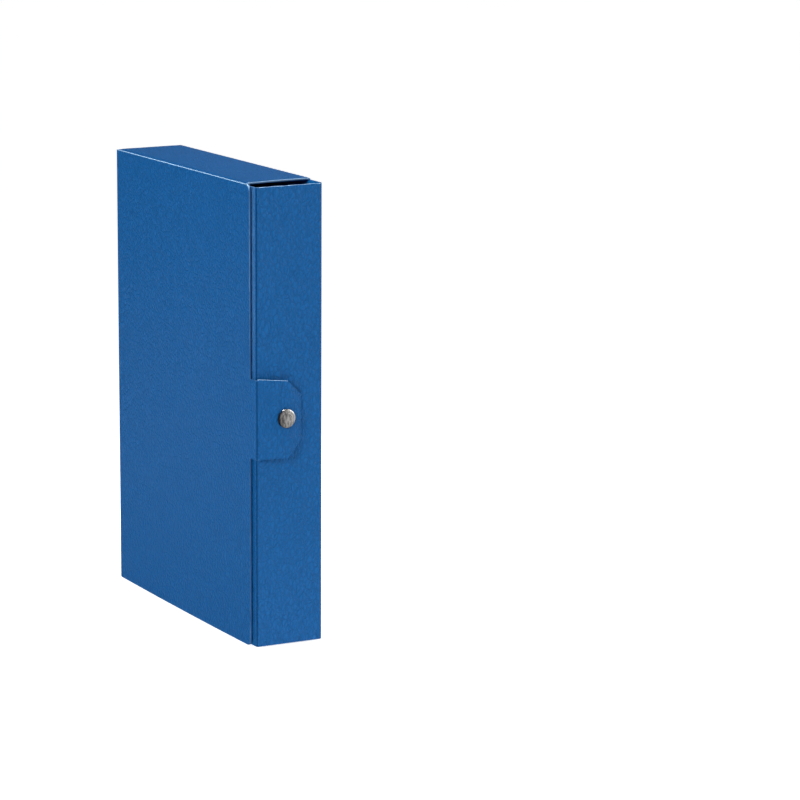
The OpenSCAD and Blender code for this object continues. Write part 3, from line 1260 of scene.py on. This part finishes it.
@dataclass
class Wrap(PanelMaker):
    """The wrap: spine, cover and closing tab, with the three creases where it hinges."""

    bow: float = 1.0
    tab_reach: float = 36.5
    tab_cut: float = 12.7
    tab_face: float = 129.5
    tab_root: float = 128.6
    tab_start: float = -26.15
    tab_drop: float = 2.75
    tab_drop_from: float = 24.0
    tab_drop_run: float = 11.5
    tab_ease: float = 17.0
    tab_head_flare: float = 0.9
    tab_head_taper: float = 2.6
    tab_head_cut: float = 0.92
    tab_foot_flare: float = 0.3
    neck_end: float = 126.9
    neck_step: float = 0.75

    def round_fold(self, centre: tuple[float, float], start: float, ends: tuple[float, float]) -> BoardSheet:
        """Makes the sheet of an upright quarter-round crease.

        The face is an arc of the fold's radius about centre from the start
        angle through a right angle, and the inner face is the same arc with
        the radius less the board's thickness, swollen into a bead.

        Args:
            centre: x and y of the arc's centre.
            start: The angle where the arc starts, in degrees.
            ends: Lowest and highest z.

        Returns:
            The sheet.
        """
        s = self.sizes
        z = spread(ends[0] + TRIM, ends[1] - TRIM, GRID, HEM)
        u, v = np.meshgrid(np.linspace(0.0, 90.0, 9), z)

        def shape(u: Array, v: Array, share: Array) -> Array:
            """Puts the sheet round the arc.

            Args:
                u: Angle from the arc's start, in degrees.
                v: Distance along z.
                share: Share of the thickness.

            Returns:
                Points in the row frame.
            """
            a = np.radians(start + u)
            radius = s.fold - share * s.board - 0.35 * np.sin(np.radians(2 * u)) * share
            return np.stack([centre[0] + radius * np.cos(a), centre[1] + radius * np.sin(a), v], 1)

        return BoardSheet(u, v, shape, (u < TINY) | (u > 90.0 - TINY))

    def spine(self) -> None:
        """Makes the spine and the crease to the back panel."""
        s = self.sizes
        flat = s.half_width - s.fold
        z = spread(s.cover_gap + TRIM, s.height - s.cover_gap - TRIM, GRID, HEM)
        u, v = np.meshgrid(spread(-flat, flat, 6.0), z)

        def shape(u: Array, v: Array, share: Array) -> Array:
            """Stands the sheet up on the spine side: u runs along y and v along z."""
            return np.stack([-s.half_depth + share * s.board, u, v], 1)

        sheet = BoardSheet(u, v, shape, np.abs(u) > flat - TINY)
        self.finish(sheet, "spine_panel_board", Body.SPINE, "spine_panel")
        edge = s.half_depth - s.fold
        fold = self.round_fold((-edge, flat), 90.0, (s.fold, s.height - s.fold))
        start, end = (-edge, s.half_width, s.tab_middle), (-s.half_depth, flat, s.tab_middle)
        self.crease(fold, "spine_crease", Body.BOX, Body.SPINE, start, end)

    def cover(self) -> None:
        """Makes the cover with the neck of the tab, and its crease to the spine."""
        s = self.sizes
        left, free = -(s.half_depth - s.fold), s.cover_edge - TRIM
        low, high, mid = s.cover_gap + TRIM, s.height - s.cover_gap - TRIM, s.tab_middle
        r = s.corner - TRIM
        root = s.tab_half - TRIM + s.neck_root
        at_neck = (mid - root, mid - root + HEM, mid + root - HEM, mid + root)
        z = corner_lines(low, high, r, 9, spread(low + r, high - r, 5.0, 0.0, at_neck))
        neck = free + np.array([0.2, 0.5, 0.85, 1.25, 2.2, 3.4, 4.8, 6.2, 7.4])
        x = np.concatenate([spread(left, free, 6.0, HEM), neck, [self.neck_end]])
        u, v = np.meshgrid(x, z)
        middle_x, middle_z = np.meshgrid((x[:-1] + x[1:]) / 2, (z[:-1] + z[1:]) / 2)
        mask = (middle_x < free) | (np.abs(middle_z - mid) < root)
        u = u - corner_pull(v, low, high, r) * np.clip(1.0 - (free - u) / 14.0, 0.0, 1.0) * (u <= free + TINY)
        past = np.clip(u - free, 0.0, s.neck_root)
        narrow = np.sqrt(np.maximum(s.neck_root**2 - (s.neck_root - past) ** 2, 0.0))
        v = np.where(u > free + TINY, mid + (v - mid) * (root - narrow) / root, v)

        def shape(u: Array, v: Array, share: Array) -> Array:
            """Bows the cover outwards in its lower half and steps the neck in.

            The bow is a parabola across the cover times the height below the
            top, and the step an eased ramp along the neck.

            Args:
                u: Distance along x.
                v: Distance along z.
                share: Share of the thickness.

            Returns:
                Points in the row frame.
            """
            across = (u - left) / (free - left)
            bulge = np.clip(1 - (2 * across - 1) ** 2, 0.0, 1.0)
            swell = self.bow * bulge * np.clip(1.0 - v / s.height, 0.0, 1.0)
            lean = self.neck_step * eased((u - free + 1.0) / (self.neck_end - free + 1.0))
            return np.stack([u, -s.half_width + share * s.board - swell + lean, v], 1)

        def rim_worn_and_lit(u: Array, v: Array) -> Array:
            """Gives how pale the rim is painted, as worn board and painted highlight: bright along the head
            edge, which faces the light, less along the free edge.

            Args:
                u: Distance along x.
                v: Distance along z.

            Returns:
                The share of paleness, worn and painted highlight.
            """
            # Painted highlight along the head edge; the free edge is worn pale and painted lighter upwards as
            # highlight, less on the neck.
            top = eased((v - high + r) / r)
            speckle = 0.06 * np.sin(v * 0.21) * np.sin(v * 0.047 + 1.0)
            edge = 0.08 + 0.20 * eased((v - 210.0) / 90.0) + speckle
            return top + (1.0 - top) * edge * np.where(u > free + 1.0, 0.4, 1.0)

        held = (np.abs(u - left) < TINY) | (np.abs(u - self.neck_end) < TINY)
        sheet = BoardSheet(u, v, shape, held, mask=mask, rim_worn_and_lit=rim_worn_and_lit)
        self.finish(sheet, "cover_panel_board", Body.COVER, "cover_panel")
        flat = s.half_width - s.fold
        fold = self.round_fold((left, -flat), 180.0, (s.cover_gap, s.height - s.cover_gap))
        start, end = (-s.half_depth, -flat, mid), (left, -s.half_width, mid)
        self.crease(fold, "cover_crease", Body.SPINE, Body.COVER, start, end)

    def tab(self) -> None:
        """Makes the closing tab, with its two cut corners.

        Seen from above, the face starts a little inside its plane at the
        fold, eases out to it at the press stud and drops by the square of the
        distance beyond the stud until the free end nearly meets the wall.
        """
        s = self.sizes
        half = s.tab_half - TRIM
        reach = self.tab_reach - TRIM
        run = reach - self.tab_cut + 0.15
        u, row = np.meshgrid(
            np.concatenate([spread(0.0, run, 2.0), spread(run, reach, 1.6, HEM)[1:]]),
            spread(-1.0, 1.0, 0.08, 0.02),
        )
        cut, along = np.clip(u - run, 0.0, None), np.clip(u / run, 0, 1)
        top = half + self.tab_head_flare - self.tab_head_taper * along - cut * self.tab_head_cut
        bottom = half + self.tab_foot_flare * along - cut
        v = s.tab_middle + np.where(row > 0, row * top, row * bottom)

        def shape(u: Array, v: Array, share: Array) -> Array:
            """Bends the sheet along the tab's curve.

            Args:
                u: Distance from the fold's tangent line.
                v: Distance along z.
                share: Share of the thickness.

            Returns:
                Points in the row frame.
            """
            root = (self.tab_root - self.tab_face) * (1.0 - eased(u / self.tab_ease))
            past = np.clip((u - self.tab_drop_from) / self.tab_drop_run, 0.0, 1.2)
            drop = self.tab_drop * past**2
            return np.stack([self.tab_face + root - drop - share * s.board, self.tab_start + u, v], 1)

        def rim_worn_and_lit(u: Array, v: Array) -> Array:
            """Returns how pale the rim is painted: bright along the head side, which faces the light, as
            painted highlight, hardly elsewhere.
            """
            return np.where((v > s.tab_middle) & (u < run + 0.5), 0.9, 0.0)

        sheet = BoardSheet(u, v, shape, u < TINY, rim_worn_and_lit=rim_worn_and_lit, core=Facing.OUTER)
        self.finish(sheet, "closing_tab_board", Body.TAB, "closing_tab")

    def tab_fold(self) -> None:
        """Makes the crease between the cover's neck and the tab.

        It is a quarter of an ellipse from the neck's end to the tab's root,
        and its middle is sunk into a score line, painted dark as shade.
        """
        s = self.sizes
        half = s.tab_half - TRIM
        z = spread(s.tab_middle - half, s.tab_middle + half, 5.0, HEM)
        u, v = np.meshgrid(np.linspace(0.0, 1.0, 13), z)
        x0, y0 = self.neck_end, -s.half_width + self.neck_step
        x1, y1 = self.tab_root, self.tab_start

        def shape(u: Array, v: Array, share: Array) -> Array:
            """Puts the sheet round the ellipse.

            Args:
                u: Share of the right angle.
                v: Distance along z.
                share: Share of the thickness.

            Returns:
                Points in the row frame.
            """
            a = u * math.pi / 2
            depth = share * s.board + 0.3 * np.sin(2 * a) * share + 0.3 * score(u, v) * (1.0 - share)
            x = x0 + (x1 - x0 - depth) * np.sin(a)
            y = y1 + (y0 - y1 + depth) * np.cos(a)
            return np.stack([x, y, v], 1)

        def score(u: Array, v: Array) -> Array:
            """Returns 1 in the crease's middle, falling to 0 beside it as a bell curve."""
            return np.exp(-(((u - 0.55) / 0.22) ** 2))

        def tone(u: Array, v: Array) -> Array:
            """Returns the face's painted shade: dark in the crease's score line."""
            return -score(u, v)

        sheet = BoardSheet(u, v, shape, (u < TINY) | (u > 1.0 - TINY), tone=tone)
        start, end = (x0, y0, s.tab_middle), (x1, y1, s.tab_middle)
        self.crease(sheet, "tab_crease", Body.COVER, Body.TAB, start, end)

    def build(self) -> None:
        """Makes the spine, the cover, the tab and their creases."""
        self.spine()
        self.cover()
        self.tab()
        self.tab_fold()


@dataclass
class PressStud:
    """One press stud: cap and socket on one sheet, stud and post on the other.

    Heights are measured along the axis from base, the outer face of the sheet
    with the stud.
    """

    finishes: FinishRack
    names: tuple[str, str, str, str]
    base: tuple[float, float, float]
    axis: tuple[float, float, float]
    stud_axis: tuple[float, float, float]
    cap_body: Body
    ring_cap: bool
    cap_radius: float = 7.25
    cap_top: float = 7.3

    RING_CAP = (
        (0.0, 4.62), (1.9, 4.62), (2.25, 4.72), (2.45, 5.0), (2.9, 5.0), (5.8, 5.0), (6.25, 4.72),
        (6.25, 4.5), (2.0, 4.5), (1.6, 3.0), (1.6, 2.4), (0.0, 2.4),
    )  # fmt: skip
    CAP_UNDER = ((7.25, 5.15), (7.2, 4.75), (6.85, 4.5), (2.2, 4.5), (1.6, 4.3), (1.6, 2.4), (0.0, 2.4))
    SOCKET = (
        (2.9, 0.9), (3.4, 0.9), (4.2, 1.15), (5.2, 2.6), (5.2, 3.0), (2.5, 3.0), (2.5, 2.75), (2.9, 2.3),
        (2.9, 0.9),
    )  # fmt: skip
    STUD = (
        (1.25, 0.0), (4.6, 0.0), (4.6, 0.5), (2.5, 0.5), (2.2, 0.9), (2.2, 1.1), (2.6, 1.4), (2.6, 1.5),
        (2.1, 1.8), (1.25, 1.8), (1.25, 0.0),
    )  # fmt: skip
    POST = (
        (0.0, 2.0), (1.7, 2.0), (1.7, 1.85), (1.2, 1.8), (1.2, -1.5), (4.5, -1.5), (4.5, -1.9), (4.2, -2.0),
        (0.0, -2.0),
    )  # fmt: skip

    def part(
        self, node: str, turned: Turned, material: bpy.types.Material, body: Body
    ) -> None:
        """Makes one turned part of the stud.

        Args:
            node: The CAD node it stands for.
            turned: Its shape.
            material: Its finish.
            body: The body it rides on.
        """
        piece = turned.skin().object(f"{node}_metal", [material], 50.0)
        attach(piece, body.value)
        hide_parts(node)
        log.info("%s: %d faces on %s", piece.name, len(piece.data.polygons), body.value)

    def dome(self) -> Array:
        """Works out the domed cap's profile.

        A nearly flat middle that falls with the square of the radius inside a
        faint pressed ring, then a shoulder that falls as cos(a) to the power
        0.8 to the rim, and the shank under it.

        Returns:
            The profile.
        """
        r, top = self.cap_radius, self.cap_top
        inner = np.linspace(0.0, 3.4, 8)
        middle = list(zip(inner, top - 0.02 - 0.016 * inner**2)) + [(3.7, top - 0.27), (3.95, top - 0.25)]
        a = np.radians(np.linspace(36.0, 84.0, 14))
        shoulder = zip(r * np.sin(a), 5.25 + (top - 5.45) * np.cos(a) ** 0.8)
        return softened(middle + list(shoulder) + list(self.CAP_UNDER), 0.2)

    def build(self) -> None:
        """Makes the four parts."""
        f = self.finishes
        cap, socket, stud, post = self.names
        if self.ring_cap:
            shape = Turned(self.base, self.axis, softened(list(self.RING_CAP), 0.14))
            self.part(cap, shape, f.lacquer, self.cap_body)
        else:
            shape = Turned(self.base, self.axis, self.dome())
            self.part(cap, shape, f.nickel, self.cap_body)
        lip = softened(list(self.SOCKET), 0.14)[:-1]
        shape = Turned(self.base, self.axis, lip, ring=True)
        self.part(socket, shape, f.lacquer, self.cap_body)
        shape = Turned(self.base, self.stud_axis, softened(list(self.STUD))[:-1], ring=True)
        self.part(stud, shape, f.nickel, Body.BOX)
        shape = Turned(self.base, self.stud_axis, softened(list(self.POST)))
        self.part(post, shape, f.nickel, Body.BOX)


@dataclass
class Studio:
    """Pale floor, soft light and the camera."""

    finishes: FinishRack
    eye: tuple[float, float, float] = (2.3459, -1.0982, 0.6714)
    look: tuple[float, float, float] = (-0.8647, 0.4644, -0.1915)
    up: tuple[float, float, float] = (-0.1715, 0.0855, 0.9815)
    lens: float = 152.64
    bright_side: tuple[float, float, float] = (0.33, 0.943, -0.05)
    surround: tuple[float, float] = (0.03, 1.05)
    dim_up_to: float = -0.05
    floor_half: float = 30.0
    floor_drop: float = 0.0003

    def camera(self) -> None:
        """Places the camera: its back axis is against the look, its up axis as given."""
        data = bpy.data.cameras.new("camera")
        data.lens, data.sensor_width = self.lens, 36.0
        data.clip_start, data.clip_end = 0.05, 60.0
        camera = bpy.data.objects.new("camera", data)
        bpy.context.scene.collection.objects.link(camera)
        back = -Vector(self.look).normalized()
        right = Vector(self.up).cross(back).normalized()
        above = back.cross(right)
        turn = Matrix((right, above, back)).transposed().to_4x4()
        camera.matrix_world = Matrix.Translation(Vector(self.eye)) @ turn
        bpy.context.scene.camera = camera

    def light(
        self,
        name: str,
        place: tuple[float, ...],
        target: tuple[float, ...],
        size: float,
        power: float,
        spread: float,
        gleam: bool = True,
    ) -> None:
        """Adds a soft square light.

        Args:
            name: Its name.
            place: Where it is, in metres.
            target: Where it points.
            size: Its side, in metres.
            power: Its power in watts.
            spread: The angle that its grid lets through, in degrees.
            gleam: False for a light too soft to show as a highlight.
        """
        data = bpy.data.lights.new(name, "AREA")
        data.size, data.energy, data.spread = size, power, math.radians(spread)
        lamp = bpy.data.objects.new(name, data)
        lamp.location = place
        lamp.rotation_euler = (Vector(target) - Vector(place)).to_track_quat("-Z", "Y").to_euler()
        lamp.visible_camera, lamp.visible_glossy = False, gleam
        bpy.context.scene.collection.objects.link(lamp)

    def floor(self) -> None:
        """Lays a wide matt floor that meets the box's foot."""
        corners = self.floor_half * np.array([[-1, -1, 0], [1, -1, 0], [1, 1, 0], [-1, 1, 0]])
        mesh = bpy.data.meshes.new("floor")
        mesh.from_pydata(corners.tolist(), [], [[0, 1, 2, 3]])
        mesh.materials.append(self.finishes.paper)
        floor = bpy.data.objects.new("floor", mesh)
        floor.location.z = -self.floor_drop
        floor.visible_glossy = False
        bpy.context.scene.collection.objects.link(floor)

    def world(self) -> None:
        """Sets a white surround, dim on the cover's side and brighter behind the fore-edge.

        The strength rises evenly with the dot product of the direction and
        the way to the brightest side, and is least where that is under dim_up_to.
        """
        world = bpy.data.worlds.new("surround")
        world.use_nodes = True
        bpy.context.scene.world = world
        nodes, links = world.node_tree.nodes, world.node_tree.links
        background = nodes["Background"]
        background.inputs["Color"].default_value = (1.0, 1.0, 1.0, 1.0)
        way = nodes.new("ShaderNodeTexCoord")
        across = nodes.new("ShaderNodeVectorMath")
        across.operation = "DOT_PRODUCT"
        across.inputs[1].default_value = self.bright_side
        strength = nodes.new("ShaderNodeMapRange")
        for number, value in enumerate((self.dim_up_to, 1.0, *self.surround), 1):
            strength.inputs[number].default_value = value
        links.new(way.outputs["Generated"], across.inputs[0])
        links.new(across.outputs["Value"], strength.inputs[0])
        links.new(strength.outputs[0], background.inputs["Strength"])

    def build(self) -> None:
        """Sets up the studio."""
        scene = bpy.context.scene
        scene.view_settings.view_transform = "Standard"
        self.camera()
        self.floor()
        self.world()
        self.light("front", (1.22, -2.25, 1.35), (0.0, 0.0, 0.36), 0.9, 3.4, 32.0, gleam=False)
        self.light("over", (0.15, -0.1, 2.2), (0.0, 0.0, 0.3), 0.6, 1.9, 40.0)
        self.light("right_back", (0.50, 1.35, 0.9), (0.12, 0.0, 0.25), 1.3, 2.4, 60.0)
        self.light("low_left", (-0.50, -0.33, 0.04), (-0.05, -0.03, 0.12), 0.20, 0.03, 60.0)


def main() -> None:
    """Builds the box, its press studs and the studio, in that order."""
    logging.basicConfig(level=logging.INFO, format="%(message)s")
    finishes = FinishRack()
    sizes = BoxSizes()
    BoxBody(sizes, finishes).build()
    Wrap(sizes, finishes).build()
    outwards = (1.0, 0.0, 0.0)
    names = ("tab_cap", "tab_socket", "wall_stud", "wall_stud_post")
    place = (sizes.half_depth, sizes.tab_stud_y, sizes.tab_middle)
    PressStud(finishes, names, place, outwards, outwards, Body.TAB, ring_cap=False).build()
    lean = math.radians(BoxBody.end_flap_tilt)
    inset = sizes.corner_stud_in
    for end, z, sign in (("head", sizes.height - inset, -1.0), ("foot", inset, 1.0)):
        names = (f"{end}_ring_cap", f"{end}_socket", f"{end}_stud", f"{end}_stud_post")
        leaning = (0.0, -math.cos(lean), sign * math.sin(lean))
        place, forwards = (sizes.corner_stud_x, sizes.corner_stud_y, z), (0.0, -1.0, 0.0)
        PressStud(finishes, names, place, forwards, leaning, Body.BOX, ring_cap=True).build()
    Studio(finishes).build()


if __name__ == "__main__":
    main()
    bpy.context.view_layer.update()
